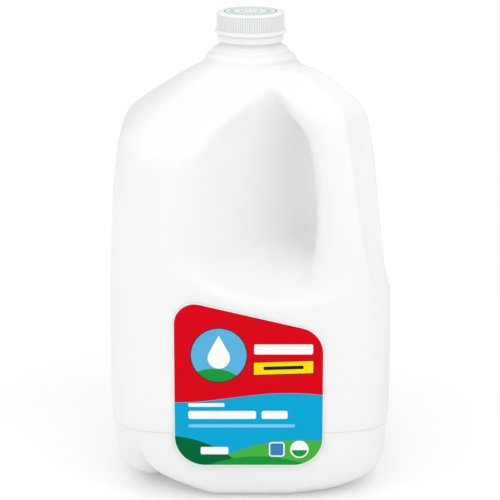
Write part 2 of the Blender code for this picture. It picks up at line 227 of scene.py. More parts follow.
# %% Helpers that write material nodes
class Recipe:
    """Writes the nodes of one material; numbers and sockets can be mixed freely in its sums."""

    def __init__(self, name):
        self.material = bpy.data.materials.new(name)
        self.material.use_nodes = True
        self.tree = self.material.node_tree
        self.shader = self.tree.nodes["Principled BSDF"]
        self.place = add_node(self.tree, "ShaderNodeTexCoord").outputs["Object"]

    def sum(self, operation, *values):
        return add_node(self.tree, "ShaderNodeMath", dict(enumerate(values)), operation=operation).outputs[0]

    def length(self, a, b):
        """The length of a vector with these two parts."""
        return self.sum("SQRT", self.sum("ADD", self.sum("MULTIPLY", a, a), self.sum("MULTIPLY", b, b)))

    def along(self, *direction):
        """How far a point lies along a direction, in millimetres."""
        return add_node(self.tree, "ShaderNodeVectorMath", {0: self.place, 1: [v / MM for v in direction]},
                        operation="DOT_PRODUCT").outputs["Value"]

    def stripe(self, value, middle, half=0.0):
        """Distance outside a stripe of some half width around a middle value."""
        return self.sum("SUBTRACT", self.sum("ABSOLUTE", self.sum("SUBTRACT", value, middle)), half)

    def inside(self, distance, soft=0.06):
        """1 where a distance is below zero and 0 where it is above, with a soft edge in millimetres."""
        return add_node(self.tree, "ShaderNodeMapRange", {
            "Value": distance, "From Min": -soft, "From Max": soft, "To Min": 1.0, "To Max": 0.0},
            interpolation_type="SMOOTHSTEP").outputs["Result"]

    def noise(self, scale, detail=2.0):
        return add_node(self.tree, "ShaderNodeTexNoise", {
            "Vector": self.place, "Scale": scale, "Detail": detail}).outputs["Fac"]

    def spread(self, value, low, high):
        """Stretches a 0 to 1 value so that it runs from low to high."""
        return self.sum("MULTIPLY_ADD", value, high - low, low)

    def layer(self, below, above, mask):
        """Lays one colour over another where the mask is 1."""
        return add_node(self.tree, "ShaderNodeMix", {0: mask, 6: below, 7: above},
                        data_type="RGBA").outputs[2]

    def bump(self, height, depth, strength=1.0):
        """Adds relief of a depth in millimetres to the relief that the material has already."""
        relief = add_node(self.tree, "ShaderNodeBump", {
            "Distance": depth * MM, "Strength": strength, "Height": height})
        before = self.shader.inputs["Normal"].links
        if before:
            plug(relief, {"Normal": before[0].from_socket})
        plug(self.shader, {"Normal": relief.outputs["Normal"]})


def colour(red, green, blue):
    """A colour as a picture stores it, from 0 to 255, turned into the linear light that the shader wants."""
    linear = [((v / 255 + 0.055) / 1.055) ** 2.4 if v > 10 else v / 255 / 12.92 for v in (red, green, blue)]
    return (*linear, 1.0)


print("recipe helpers are ready")

# %% [markdown]
# ## The sizes of the bottle
#
# The bottle is blow-moulded: a tube of hot plastic is blown out against two mould halves that meet on the
# plane through the handle. It could be carved from a block with cutters, but a cage of points over half of
# it, mirrored and smoothed, gives the same soft, continuous skin that blowing does. These are the sizes,
# in millimetres.

# %% Sizes of the bottle
# Body
HALF_WIDTH = 76.6          # from the axis to a face of the square body
FOOT_HALF_WIDTH = 75.5     # the same below the mould line, where the base insert begins
MOULD_LINE_Z = 41.0
CORNER_RADIUS = 26.5       # of the upright corners
BASE_FILLET = 18.4         # from the faces into the foot
PUSH_UP = 8.0              # height of the middle of the base
GROOVE_TOP_Z = 42.0        # where the corner groove of the base channel fades out

# Shoulder
BREAK_Z = 203.8            # where the faces turn into the shoulder
BREAK_HALF_WIDTH = 65.5    # of the side and rear faces there
BREAK_FRONT_WIDTH = 57.0   # of the front face, which leans in further beside the handle
BREAK_RADIUS = 42.0
BREAK_SQUEEZE = 20.0       # degrees by which a corner's columns draw together from both sides there
COLLAR_RADIUS = 24.8
COLLAR_Z = 232.0

# Handle and finger hole
HOLE_BOTTOM_Z = 135.0
HOLE_TOP_Z = 203.0
ROOF_Z = 186.0             # where the recess starts to close towards its roof
LIP_Z = 114.5              # lower edge of the finger recess
WALL_X = 29.5              # recess wall behind the fingers, on the parting plane
WALL_DRAFT = 0.07          # how fast that wall turns away from square to the parting plane
HANDLE_DEPTH = 30.5        # of the handle, from its corner facet to the finger hole

# Columns of the body's cage, counted from the handle's corner round the front to the rear corner
GRIP_WALL = 6              # handle's inner wall, on the parting plane beside the hole
BODY_WALL = 7              # body's wall, on the parting plane beside the hole
CREASE = 11                # where the recess meets the front face
GROOVE = 14                # left front corner
LAST = 21

# Where the columns cross the flat part of the front face, from -1 at the left corner to 1 at the right
FRONT_SHARES = {2: 1.0, 3: 0.86, 4: 0.73, 5: 0.61, 6: 0.42, 7: 0.2, 8: -0.04, 9: -0.3, 10: -0.56,
                11: -0.82, 12: -1.0}
COLLAR_ANGLES = (0, 9, 14, 19, 24, 28.5, 33, 38, 47, 56, 65, 72, 78, 84, 90, 96, 102, 110, 135, 160, 170, 180)
print("body:", 2 * HALF_WIDTH, "mm square, its collar", COLLAR_Z, "mm high")

# %% [markdown]
# ## How the outline changes with height
#
# Each face leans, narrows and rounds over in its own way. A table of heights and values with a smooth curve
# through them says this in a few numbers, and is easy to correct when the outline is off by a millimetre.


# %% Curves through tables of heights
def through(stations, z):
    """A smooth curve through (z, value) stations, held level past its ends."""
    if z <= stations[0][0]:
        return stations[0][1]
    if z >= stations[-1][0]:
        return stations[-1][1]
    slopes = []
    for i in range(len(stations)):
        low, high = stations[max(i - 1, 0)], stations[min(i + 1, len(stations) - 1)]
        slopes.append((high[1] - low[1]) / (high[0] - low[0]))
    for i in range(len(stations) - 1):
        (z0, v0), (z1, v1) = stations[i], stations[i + 1]
        if z <= z1:
            span = z1 - z0
            t = (z - z0) / span
            return ((2 * t**3 - 3 * t**2 + 1) * v0 + (t**3 - 2 * t**2 + t) * span * slopes[i]
                    + (3 * t**2 - 2 * t**3) * v1 + (t**3 - t**2) * span * slopes[i + 1])


def half_width(z):
    """From the axis to the side and rear faces."""
    return through([(26, FOOT_HALF_WIDTH), (38, FOOT_HALF_WIDTH), (43, HALF_WIDTH), (108, HALF_WIDTH),
                    (135, 75.9), (163, 74.9), (185, 73.0), (195, 71.6), (BREAK_Z, BREAK_HALF_WIDTH)], z)


def front_width(z):
    """From the axis to the front face, and to the face that mirrors it on the handle's other side."""
    return through([(26, FOOT_HALF_WIDTH), (38, FOOT_HALF_WIDTH), (43, HALF_WIDTH), (112, HALF_WIDTH),
                    (122, 75.8), (135, 74.9), (150, 73.6), (164, 72.3), (176, 70.7), (186, 68.6),
                    (195, 64.8), (BREAK_Z, BREAK_FRONT_WIDTH)], z)


def corner_radius(z):
    return through([(150, CORNER_RADIUS), (185, 29), (195, 34), (BREAK_Z, BREAK_RADIUS)], z)


def facet_x(z):
    """Distance from the axis to the flat facet on the handle's corner, along the parting plane."""
    return through([(116, 96.9), (123, 96.5), (130, 95.2), (137, 93.4), (146, 91.6), (164, 88.4), (187, 84.3),
                    (204, 81.2), (212, 79.0), (216, 76.5), (222, 69.0)], z)


def facet_half_width(z):
    return through([(116, 6.6), (130, 6.2), (146, 7.1), (164, 7.5), (187, 8.4), (204, 8.3), (215, 7.6),
                    (222, 6.1)], z)


def handle_face(z):
    """Distance from the axis to the handle's flat side, which continues the front face and leans in."""
    return (facet_x(z) + facet_half_width(z)) / math.sqrt(2)


def grip_edge(z):
    """How far across the front face the handle's rounded inner side reaches."""
    return through([(132, 33.0), (141, 34.6), (153, 35.8), (164, 35.3), (176, 34.0), (197, 31.5), (208, 27.0),
                    (222, 21.0)], z)


def hole_end(z):
    """How far the finger hole's sides close in on each other near its rounded ends."""
    return through([(130, 8.0), (HOLE_BOTTOM_Z, 5.5), (150, 0.5), (170, 0.0), (188, 0.6),
                    (HOLE_TOP_Z, 5.0)], z)


def wall_x(y):
    """The recess wall: nearly square to the parting plane, with the mould's draft."""
    return WALL_X - WALL_DRAFT * abs(y)


print("front face at height 150 mm:", round(front_width(150), 1), "mm from the axis")

# %% [markdown]
# ## One column at a time
#
# The cage's columns run from the handle's corner round the front to the far corner. Where there is no
# handle, a column sits on a square with rounded corners. Beside the hole it sits on the handle, on the
# wall behind the fingers, or on the body. Mixing the two places gives the lip and the floor between them.


# %% Where each column stands
def from_face(across, depth):
    """From the front face's axes, across it and away from its viewer, to the part's X and Y."""
    return (across - depth) / math.sqrt(2), (across + depth) / math.sqrt(2)


def plain_point(column, w, r, front=None, squeeze=None):
    """One column's place on a square of half width w with corners of radius r, in the part's X and Y.

    The front face may be nearer the axis than the side and rear faces are. The columns of the left front
    corner draw together by so many degrees of its arc from both sides.
    """
    c = w - r
    front = front or w
    near = front - r

    def arc(across, depth, degrees):
        turn = math.radians(degrees)
        return from_face(across + r * math.sin(turn), depth - r * math.cos(turn))

    if column < 2:
        return arc(near, -near, (45, 29)[column])
    if column in FRONT_SHARES:
        share = FRONT_SHARES[column]
        return from_face(share * (near if share > 0 else c), -front)
    if column <= 16:
        if squeeze is None:
            squeeze = BREAK_SQUEEZE * max(0.0, r - CORNER_RADIUS) / (BREAK_RADIUS - CORNER_RADIUS)
        return arc(-c, -near, -squeeze - (90 - 2 * squeeze) * (column - 12) / 4)
    if column < 20:
        return from_face(-w, {17: -near * 0.82, 18: 0, 19: c}[column])
    return arc(-c, c, -90 - 22.5 * (column - 19))


def handle_point(column, z):
    """One column's place on the section through the handle, the finger recess and the body's wall."""
    face, grip = handle_face(z), grip_edge(z)
    edge = face - facet_half_width(z) * math.sqrt(2)
    on_grip = {2: (edge - 7.0, -face - 0.8), 3: (edge - 14.5, -face - 0.6), 4: (grip + 0.5, -face + 5.0),
               5: (grip - 0.3, -face + 16.5)}
    if column == 0:
        return facet_x(z), 0.0
    if column == 1:
        return facet_x(z), -facet_half_width(z)
    if column in on_grip:
        return from_face(*on_grip[column])
    if column == GRIP_WALL:
        return facet_x(z) - HANDLE_DEPTH - hole_end(z), 0.0
    if column == BODY_WALL:
        return WALL_X + hole_end(z), 0.0
    front = front_width(z)
    crease = (WALL_X * math.sqrt(2) - front * (1 + WALL_DRAFT)) / (1 - WALL_DRAFT) - 2.5
    if column < CREASE:
        y = {8: -25.0, 9: -46.0, 10: -64.0}[column]
        return wall_x(y) + {8: 0.0, 9: 0.3, 10: 2.0}[column], y
    if column == CREASE:
        return from_face(crease, -front)
    return plain_point(column, half_width(z), corner_radius(z), front)


def mixed(a, b, share):
    return tuple(p + (q - p) * share for p, q in zip(a, b))


print("handle's inner wall at height 164 mm:", [round(v, 1) for v in handle_point(GRIP_WALL, 164)])

# %% [markdown]
# ## Rows from the foot to the collar
#
# The foot turns under in a generous fillet, and a channel runs across the underside so that the jug stands
# on its rim. The handle zone starts at a lip, and its roof rises with the shoulder.


# %% Rows of the underside and the foot
def base_rows():
    """The underside from its middle outwards, then the fillet up to the faces, with the base channel."""
    rows = []
    for w, r, z in ((14.0, 9.0, 6.5), (34.0, 22.0, 0.9), (43.0, 27.0, 0.0), (48.5, 29.5, 0.0),
                    (54.0, 32.0, 0.0), (60.5, 35.5, 0.0)):
        rows.append([(*plain_point(j, w, r, squeeze=27.0), z) for j in range(LAST + 1)])
    for degrees, r, squeeze in ((25.0, 44.0, 32.0), (48.0, 46.0, 33.0), (70.0, 38.5, 31.0)):
        turn = math.radians(degrees)
        w = FOOT_HALF_WIDTH - BASE_FILLET * (1 - math.sin(turn))
        z = BASE_FILLET * (1 - math.cos(turn))
        rows.append([(*plain_point(j, w, r, squeeze=squeeze), z) for j in range(LAST + 1)])
    for z, r, squeeze in ((26.0, 30.0, 18.0), (38.0, 27.5, 7.0), (43.0, CORNER_RADIUS, 0.0),
                          (72.0, CORNER_RADIUS, 0.0), (99.0, CORNER_RADIUS, 0.0)):
        rows.append([(*plain_point(j, half_width(z), r, squeeze=squeeze), z) for j in range(LAST + 1)])
    # The groove's bottom, from under the base out and up the left front corner, and how much of it the
    # columns beside it take, on the front face's side and on the side face's side.
    valley = ((16, 7.5), (36, 7.5), (45, 8.0), (50, 8.3), (54.5, 8.6), (59, 9.0), (66, 10.4), (73, 13.4),
              (81, 20.0), (88, 29.0), (94.5, 37.5), (96.6, GROOVE_TOP_Z + 3))
    beside = {-2: (0.7, 0.4, 0.1, 0.0, 0.0, 0.0, 0.0, 0.0, 0.0, 0.0, 0.0, 0.0),
              -1: (0.9, 0.9, 0.75, 0.6, 0.48, 0.44, 0.44, 0.46, 0.46, 0.4, 0.18, 0.0),
              1: (0.9, 0.9, 0.9, 0.88, 0.84, 0.8, 0.74, 0.68, 0.6, 0.48, 0.2, 0.0),
              2: (0.7, 0.5, 0.3, 0.22, 0.18, 0.17, 0.16, 0.14, 0.08, 0.03, 0.0, 0.0)}
    for i, (reach, z) in enumerate(valley):
        rows[i][GROOVE] = (0.0, -reach, z)
        for step, shares in beside.items():
            x, y, own_z = rows[i][GROOVE + step]
            rows[i][GROOVE + step] = mixed((x, y, own_z), (x, -reach + abs(x) * 0.1, z), shares[i])
    return rows


print("rows of the underside and the foot:", len(base_rows()))


# %% Rows of the handle and the finger recess
def grip_rows():
    """The rows through the handle: lip and floor of the recess, the hole's height, its roof, the shoulder."""
    lip_rise = (0, 0, 0, 0, 0, 0, 0, 0, 1.5, 5, 10, 15.5, 12, 9, 6, 4, 2, 1, 0, 0, 0, 0)
    # Under the hole the recess has a hollow floor, given across and away from the front face's viewer.
    floor = {5: (29.5, -57.5), GRIP_WALL: (25.5, -48.5), BODY_WALL: (17.0, -41.0)}
    rows = []
    # Height of each row at the handle, the share of the lip's rise that it takes, and how far in it lies.
    for z, rise, inward in ((108.5, 0.55, 0.0), (LIP_Z, 1.0, 0.0), (118.0, 1.0, 0.3), (122.5, 0.95, 0.6),
                            (128.5, 0.8, 0.86), (HOLE_BOTTOM_Z, 0.5, 1.0), (150.0, 0.15, 1.0),
                            (168.0, 0.0, 1.0), (ROOF_Z, 0.0, 1.0)):
        row = []
        for j in range(LAST + 1):
            own_z = z + lip_rise[j] * rise
            plain = plain_point(j, half_width(own_z), corner_radius(own_z), front_width(own_z))
            grip = handle_point(j, own_z)
            if z < HOLE_BOTTOM_Z and j in floor:
                grip = from_face(*floor[j])
            share = inward
            if j < 3:
                share = min(1.0, max(0.0, (own_z - LIP_Z) / 12.0))
            elif j > BODY_WALL:
                share = inward ** 1.25 if z <= HOLE_BOTTOM_Z - 1 else (0.94 if z == HOLE_BOTTOM_Z else 1.0)
            row.append((*mixed(plain, grip, share), own_z))
        rows.append(row)
    # From the hole's top to the break of the shoulder, which rises along the recess to the handle's arm.
    break_z = (221.5, 221.5, 221.5, 221.5, 222, 223.2, 223.5, 223, 219, 211.5, 205, 201, 201.5, 202.5)
    break_z += (BREAK_Z,) * 8
    # The arm's sides fall away from the facet on its top.
    droop = {2: 1.6, 3: 4.0, 4: 2.6, 5: 1.2}
    # Places along the recess's upper rim, and how far each row has reached them: sooner beside the handle.
    rim = {5: (45.3, -20.5), 6: (40.0, -21.6), 7: (35.0, -23.0), 8: (31.6, -29.0), 9: (30.6, -42.5),
           10: (27.6, -55.0), CREASE: (20.8, -64.4)}
    for share, soft_share, to_rim, to_arm_rim in ((0.4, 0.36, 0.0, 0.0), (0.58, 0.52, 0.3, 0.5),
                                                  (0.77, 0.72, 0.66, 0.8), (1.0, 1.0, 1.0, 1.0)):
        row = []
        for j in range(LAST + 1):
            own_z = ROOF_Z + (break_z[j] - ROOF_Z) * (soft_share if BODY_WALL < j < CREASE else share)
            x, y = handle_point(j, own_z)
            if j in rim:
                x, y = mixed((x, y), rim[j], to_rim if j > BODY_WALL else to_arm_rim)
            row.append((x, y, own_z - droop.get(j, 0.0) * to_rim))
        rows.append(row)
    return rows


print("rows of the handle and the finger recess:", len(grip_rows()))


# %% Rows of the shoulder
def shoulder_rows(break_row):
    """From the break up to the collar, nearly straight on the body and bulging on the handle's arm."""
    bulge = (3.7, 3.7, 4.1, 4.1, 2.6, 1.0, 0.3, 0.0, 0.0, 0.0, 0.0, 0.0, 0.4) + (1.0,) * 9
    collar = []
    for degrees in COLLAR_ANGLES:
        turn = math.radians(degrees)
        collar.append((COLLAR_RADIUS * math.cos(turn), -COLLAR_RADIUS * math.sin(turn), COLLAR_Z))
    rows = []
    for share, swell in ((0.3, 0.75), (0.65, 1.15), (1.0, 0.0)):
        row = []
        for j, (low, high) in enumerate(zip(break_row, collar)):
            x, y, z = mixed(low, high, share)
            row.append((x, y, z + bulge[j] * swell))
        rows.append(row)
    rows.append([(x * 0.75, y * 0.75, z) for x, y, z in collar])
    return rows


print("rows of the shoulder:", len(shoulder_rows(grip_rows()[-1])))

# %% [markdown]
# ## The bottle's skin
#
# The grid of rows and columns becomes half a cage. A Mirror modifier closes it over the parting plane,
# Subdivision Surface gives the blown softness, and crease values keep the handle's corner facet crisp. The
# neck is turned round the axis, as the mould's neck ring does it, and a Boolean joins the two so that the
# bottle stays one closed skin.


# %% Build the cage
FACET_CREASE = 0.85
CREASE_GROWTH = 0.3            # by which the facet's crease grows from row to row at its lower end
GROOVE_CREASE = 0.75


def bottle_cage():
    """Half of the bottle as a net of points, with crease values where the plastic has an edge."""
    rows = base_rows() + grip_rows()
    rows += shoulder_rows(rows[-1])
    bm = bmesh.new()
    grid = [[bm.verts.new(Vector(point) * MM) for point in row] for row in rows]
    hole_rows = [i for i, row in enumerate(rows) if row[BODY_WALL][1] == 0.0 and row[GRIP_WALL][1] == 0.0]
    for i in range(len(grid) - 1):
        for j in range(LAST):
            if not (j == GRIP_WALL and i in hole_rows and i + 1 in hole_rows):
                bm.faces.new((grid[i][j], grid[i][j + 1], grid[i + 1][j + 1], grid[i + 1][j]))
    for ring, z in ((grid[0], PUSH_UP), (grid[-1], COLLAR_Z)):
        middle = bm.verts.new(Vector((0, 0, z)) * MM)
        for a, b in zip(ring, ring[1:]):
            bm.faces.new((a, b, middle))
    for ring in grid:
        ring[0].co.y = ring[LAST].co.y = 0.0
    crease = bm.edges.layers.float.new("crease_edge")
    first = len(base_rows())
    # The facet on the handle's corner has a crisp edge, which fades in above the body.
    for i in range(first + 3, len(grid) - 3):
        growth = CREASE_GROWTH * (i - first - 2)
        bm.edges.get((grid[i][1], grid[i + 1][1]))[crease] = min(FACET_CREASE, growth)
    # So has the bottom of the base channel's groove, from the foot up the left front corner.
    for i in range(4, first - 2):
        bm.edges.get((grid[i][GROOVE], grid[i + 1][GROOVE]))[crease] = GROOVE_CREASE
    bmesh.ops.recalc_face_normals(bm, faces=bm.faces)
    mesh = bpy.data.meshes.new("bottle")
    bm.to_mesh(mesh)
    bm.free()
    return mesh


def turned_mesh(name, profile, steps):
    """A closed solid of revolution from an outline given as (radius, height) in millimetres."""
    bm = bmesh.new()
    points = [bm.verts.new((r * MM, 0, z * MM)) for r, z in profile]
    edges = [bm.edges.new(pair) for pair in zip(points, points[1:])]
    bmesh.ops.spin(bm, geom=points + edges, cent=(0, 0, 0), axis=(0, 0, 1), angle=2 * math.pi, steps=steps,
                   use_merge=True)
    bmesh.ops.remove_doubles(bm, verts=bm.verts, dist=1e-7)
    bmesh.ops.recalc_face_normals(bm, faces=bm.faces)
    mesh = bpy.data.meshes.new(name)
    bm.to_mesh(mesh)
    bm.free()
    return mesh


def settled(obj, name):
    """Turns an object with modifiers into a plain mesh of its own, and removes the object."""
    graph = bpy.context.evaluated_depsgraph_get()
    mesh = bpy.data.meshes.new_from_object(obj.evaluated_get(graph))
    bpy.data.objects.remove(obj, do_unlink=True)
    return add_object(name, mesh)


def rounded(profile, radius, steps=3):
    """The same outline with its corners rounded off, by at most 0.45 of a side so that no two meet."""
    out = [profile[0]]
    for a, b, c in zip(profile, profile[1:], profile[2:]):
        a, b, c = Vector(a), Vector(b), Vector(c)
        back, ahead = a - b, c - b
        reach = min(radius, back.length * 0.45, ahead.length * 0.45)
        p, q = b + back.normalized() * reach, b + ahead.normalized() * reach
        for k in range(steps + 1):
            t = k / steps
            out.append(tuple(p * (1 - t) ** 2 + b * 2 * t * (1 - t) + q * t * t))
    out.append(profile[-1])
    return out


NECK_RADIUS = 16.5
NECK_SEAT_Z = 241.0            # above it the neck is hidden in the cap
NECK_TOP_Z = 255.0
NECK_STEPS = 128
NECK_PROFILE = [
    (0, NECK_TOP_Z), (NECK_RADIUS - 1, NECK_TOP_Z), (NECK_RADIUS, NECK_TOP_Z - 1), (NECK_RADIUS, 242.2),
    (17.0, NECK_SEAT_Z), (20.7, 238.7), (21.3, 237.9), (21.4, 236.9), (23.9, 235.4), (24.8, 234.5),
    (25.0, 233.6), (25.4, 232.2), (26.6, 231.0), (29.5, 228.0), (22.0, 225.0), (0, 225.0)]
BOTTLE_LEVELS = 3

bottle = add_object("bottle_cage", bottle_cage())
mirror = bottle.modifiers.new("Other half", "MIRROR")
mirror.use_axis = (False, True, False)
mirror.merge_threshold = 0.0001
smooth = bottle.modifiers.new("Blown softness", "SUBSURF")
smooth.levels = smooth.render_levels = BOTTLE_LEVELS
neck = add_object("neck_helper", turned_mesh("neck", rounded(NECK_PROFILE, radius=0.5), NECK_STEPS))
join = bottle.modifiers.new("Neck", "BOOLEAN")
join.operation = "UNION"
join.object = neck
jug = settled(bottle, "jug_skin")
bpy.data.objects.remove(neck, do_unlink=True)
print("bottle:", len(jug.data.polygons), "faces")

# %% [markdown]
# ## The pressed facet
#
# The facet on the handle's corner is pressed in by a fraction of a millimetre, and ends in a rounded tongue
# above the body. The step is too fine for the cage, so it is pressed into the smoothed skin point by point.
# The normals are read before any point moves, because Blender works them all out again after a move.


# %% Press the facet into the skin
def faded(value, end):
    """0 up to zero, 1 from the end on, and smooth between them."""
    t = min(1.0, max(0.0, value / end))
    return t * t * (3 - 2 * t)


def tongue_half_width(z):
    """Half the width of the pressed facet, down to its rounded lower end."""
    low_end = through([(123.0, 0.0), (126.0, 4.4), (130.0, 6.4), (137.0, 7.4), (146.0, 8.0)], z)
    return min(low_end, facet_half_width(z))


FACET_DEPTH = 0.45
FACET_STEP = 0.9               # how far the facet's edge takes to step down
FACET_INNER_X = 34.0           # where it starts on the handle's arm
FACET_FADE = 10.0              # how far it takes to reach its depth from there
FACET_LOW_Z = 120.0            # nothing is pressed below this height
FACET_FACING = 0.5             # nor where the skin looks down or towards the axis
normals = [vertex.normal.copy() for vertex in jug.data.vertices]
pressed = 0
for vertex, normal in zip(jug.data.vertices, normals):
    place = vertex.co / MM
    inside = tongue_half_width(place.z) - abs(place.y)
    outer = place.x > FACET_INNER_X and place.z > FACET_LOW_Z and normal.x + normal.z > FACET_FACING
    if inside > 0 and outer:
        press = FACET_DEPTH * faded(inside, FACET_STEP) * faded(place.x - FACET_INNER_X, FACET_FADE)
        vertex.co -= normal * press * MM
        pressed += 1
jug.data.shade_smooth()
jug.data.set_sharp_from_angle(angle=math.radians(50))
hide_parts("jug_body")
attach(jug, "root")
print("pressed in:", pressed, "points,", FACET_DEPTH, "mm deep")

# %% [markdown]
# ## White polyethylene
#
# The bottle's plastic is opaque white and faintly waxy: light goes a little way in, the skin has a satin
# sheen, and it keeps the mould's fine sand-blasted grain and a very slight waviness from uneven cooling.
# A plain white shader would look like plaster, so each of these is added at its real scale. The two
# moulding lines are added as relief: the parting line over the handle, and the base insert's line low on
# the body, which is also painted darker as painted shade along it.

# %% Finish of the bottle
PARTING_HALF = 0.22            # half the width of the parting line
INSERT_HALF = 0.3              # and of the base insert's line
plastic = Recipe("white_polyethylene")
cloudy = plastic.noise(14.0)
speckle = plastic.noise(420.0, 3.0)
parting = plastic.inside(plastic.stripe(plastic.along(0, 1, 0), 0.0, PARTING_HALF), 0.2)
insert_line = plastic.inside(plastic.stripe(plastic.along(0, 0, 1), MOULD_LINE_Z, INSERT_HALF), 0.25)
white = plastic.layer(colour(237, 238, 238), colour(244, 244, 243), cloudy)
# The base insert's line is painted a darker grey: painted shade along the line's small step.
white = plastic.layer(white, colour(214, 217, 217), plastic.sum("MULTIPLY", insert_line, 0.6))
plug(plastic.shader, {
    "Base Color": white, "Roughness": plastic.spread(speckle, 0.34, 0.46), "IOR": 1.5,
    "Subsurface Weight": 0.18, "Subsurface Radius": (1.0, 0.9, 0.8), "Subsurface Scale": 0.004})
plastic.bump(plastic.noise(26.0, 1.0), depth=0.6, strength=0.35)
plastic.bump(speckle, depth=0.05, strength=0.5)
plastic.bump(plastic.sum("SUBTRACT", plastic.sum("MULTIPLY", parting, 0.6), insert_line), depth=0.12)
jug.data.materials.clear()
jug.data.materials.append(plastic.material)
print("bottle finish:", len(plastic.tree.nodes), "nodes")

# %% [markdown]
# ## The screw cap
#
# The cap is injection-moulded: a plain rounded top edge, a skirt with about ninety fine grip ribs, a thin
# flange and, under it, a tamper band held by small bridges. The plain parts are one turned outline. The
# ribs repeat, so Geometry Nodes place one small rib on a circle, and two are left out where the mould's
# ejector mark is.

# %% Turn the cap
CAP_TOP_Z = 259.1
CAP_ROOT_RADIUS = 18.35        # between the ribs
RIB_BOTTOM_Z = 249.1
RIB_TOP_Z = 257.7
FLANGE_RADIUS = 19.8
BAND_RADIUS = 18.2             # tamper band under the flange
BAND_BOTTOM_Z = 243.0
CAP_INSIDE_RADIUS = 17.1
CAP_INSIDE_Z = 256.6
CAP_STEPS = 180
CAP_PROFILE = [
    (0, CAP_TOP_Z - 0.15), (15.2, CAP_TOP_Z - 0.15), (15.6, CAP_TOP_Z), (17.1, CAP_TOP_Z),
    (18.2, CAP_TOP_Z - 0.35), (18.7, RIB_TOP_Z + 0.35), (CAP_ROOT_RADIUS, RIB_TOP_Z - 0.1),
    (CAP_ROOT_RADIUS, RIB_BOTTOM_Z + 0.25), (FLANGE_RADIUS - 0.1, 248.7), (FLANGE_RADIUS, 248.4),
    (FLANGE_RADIUS, 247.6), (FLANGE_RADIUS - 0.3, 247.35), (18.2, 247.1), (17.8, 246.9), (17.8, 246.6),
    (BAND_RADIUS, 246.4), (BAND_RADIUS, BAND_BOTTOM_Z + 0.4), (BAND_RADIUS - 0.3, BAND_BOTTOM_Z),
    (CAP_INSIDE_RADIUS, BAND_BOTTOM_Z), (CAP_INSIDE_RADIUS, CAP_INSIDE_Z), (0, CAP_INSIDE_Z)]
cap = add_object("cap_shell", turned_mesh("cap_shell", rounded(CAP_PROFILE, radius=0.22), CAP_STEPS))
cap.data.shade_smooth()
cap.data.set_sharp_from_angle(angle=math.radians(40))
print("cap:", len(cap.data.polygons), "faces")


# %% Grip ribs, placed by Geometry Nodes
CAP_RIBS = 90
GAP_DEGREES = 261.4            # where the two left-out ribs are, seen from above
GAP_RIB = int(round(GAP_DEGREES / 360 * CAP_RIBS))


def rib_tree(material):
    """Ribs on a circle, with their count and sizes as named inputs."""
    tree = bpy.data.node_groups.new("grip_ribs", "GeometryNodeTree")
    face = tree.interface
    face.new_socket("Geometry", in_out="INPUT", socket_type="NodeSocketGeometry")
    for name, kind, value in (("Ribs", "NodeSocketInt", 90), ("Radius", "NodeSocketFloat", 0.0183),
                              ("Rib length", "NodeSocketFloat", 0.008),
                              ("Rib radius", "NodeSocketFloat", 0.0007),
                              ("Foot height", "NodeSocketFloat", 0.249), ("Seed", "NodeSocketInt", 7)):
        face.new_socket(name, in_out="INPUT", socket_type=kind).default_value = value
    face.new_socket("Geometry", in_out="OUTPUT", socket_type="NodeSocketGeometry")
    given = add_node(tree, "NodeGroupInput").outputs
    circle = add_node(tree, "GeometryNodeCurvePrimitiveCircle", {"Radius": given["Radius"]})
    points = add_node(tree, "GeometryNodeCurveToPoints", {
        "Curve": circle.outputs["Curve"], "Count": given["Ribs"]})
    rib = add_node(tree, "GeometryNodeMeshCylinder", {
        "Vertices": 8, "Radius": given["Rib radius"], "Depth": given["Rib length"]}, fill_type="NGON")
    # The ribs are counted in pairs, and the pair over the ejector mark is left out.
    index = add_node(tree, "GeometryNodeInputIndex").outputs[0]
    halved = add_node(tree, "ShaderNodeMath", {0: index, 1: 2.0}, operation="DIVIDE").outputs[0]
    pair = add_node(tree, "ShaderNodeMath", {0: halved}, operation="FLOOR").outputs[0]
    gap = add_node(tree, "FunctionNodeCompare", {2: pair, 3: GAP_RIB // 2}, data_type="INT",
                   operation="EQUAL")
    keep = add_node(tree, "FunctionNodeBooleanMath", {0: gap.outputs[0]}, operation="NOT")
    # The ribs differ a little in size, with a fixed seed.
    vary = add_node(tree, "FunctionNodeRandomValue", {2: 0.96, 3: 1.04, "Seed": given["Seed"]},
                    data_type="FLOAT")
    placed = add_node(tree, "GeometryNodeInstanceOnPoints", {
        "Points": points.outputs["Points"], "Instance": rib.outputs["Mesh"], "Selection": keep.outputs[0],
        "Scale": vary.outputs[1]})
    middle = add_node(tree, "ShaderNodeMath", {0: given["Rib length"], 1: 0.5, 2: given["Foot height"]},
                      operation="MULTIPLY_ADD")
    up = add_node(tree, "ShaderNodeCombineXYZ", {"Z": middle.outputs[0]})
    real = add_node(tree, "GeometryNodeRealizeInstances", {0: placed.outputs["Instances"]})
    lift = add_node(tree, "GeometryNodeTransform", {
        "Geometry": real.outputs[0], "Translation": up.outputs[0]})
    paint = add_node(tree, "GeometryNodeSetMaterial", {"Geometry": lift.outputs[0], "Material": material})
    add_node(tree, "NodeGroupOutput", {"Geometry": paint.outputs[0]})
    return tree


